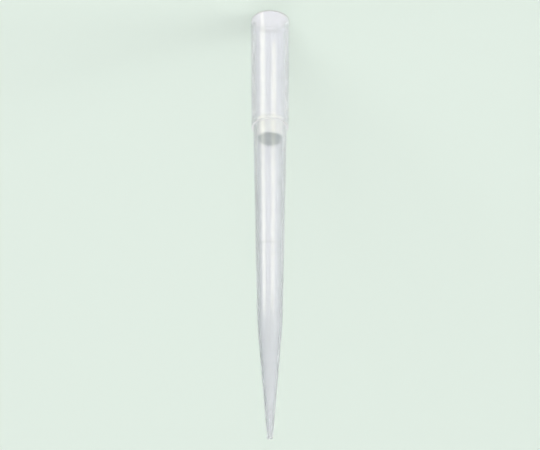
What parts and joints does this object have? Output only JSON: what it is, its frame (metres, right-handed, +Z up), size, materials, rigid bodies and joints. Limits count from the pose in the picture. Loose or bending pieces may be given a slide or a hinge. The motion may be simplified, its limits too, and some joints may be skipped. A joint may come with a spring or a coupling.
{
  "type": "filter pipette tip",
  "caption": "Long slender tip with a smooth wide collar, a tapering body that ends in a steeper cone, and a porous filter pressed in its bore.",
  "frame": {"origin": "middle of the mouth's rim, on the surface that the tip stands on", "axes": "+Z up along the tip's axis, from its open mouth to its narrow end; X and Y across it"},
  "size_m": [0.0082, 0.0082, 0.102],
  "materials": {
    "polypropylene": "natural translucent polypropylene, smooth and slightly hazy",
    "sintered_filter": "matt off-white sintered polyethylene beads"
  },
  "bodies": {
    "root": {"tip_body": "polypropylene", "filter_plug": "sintered_filter"}
  },
  "joints": []
}
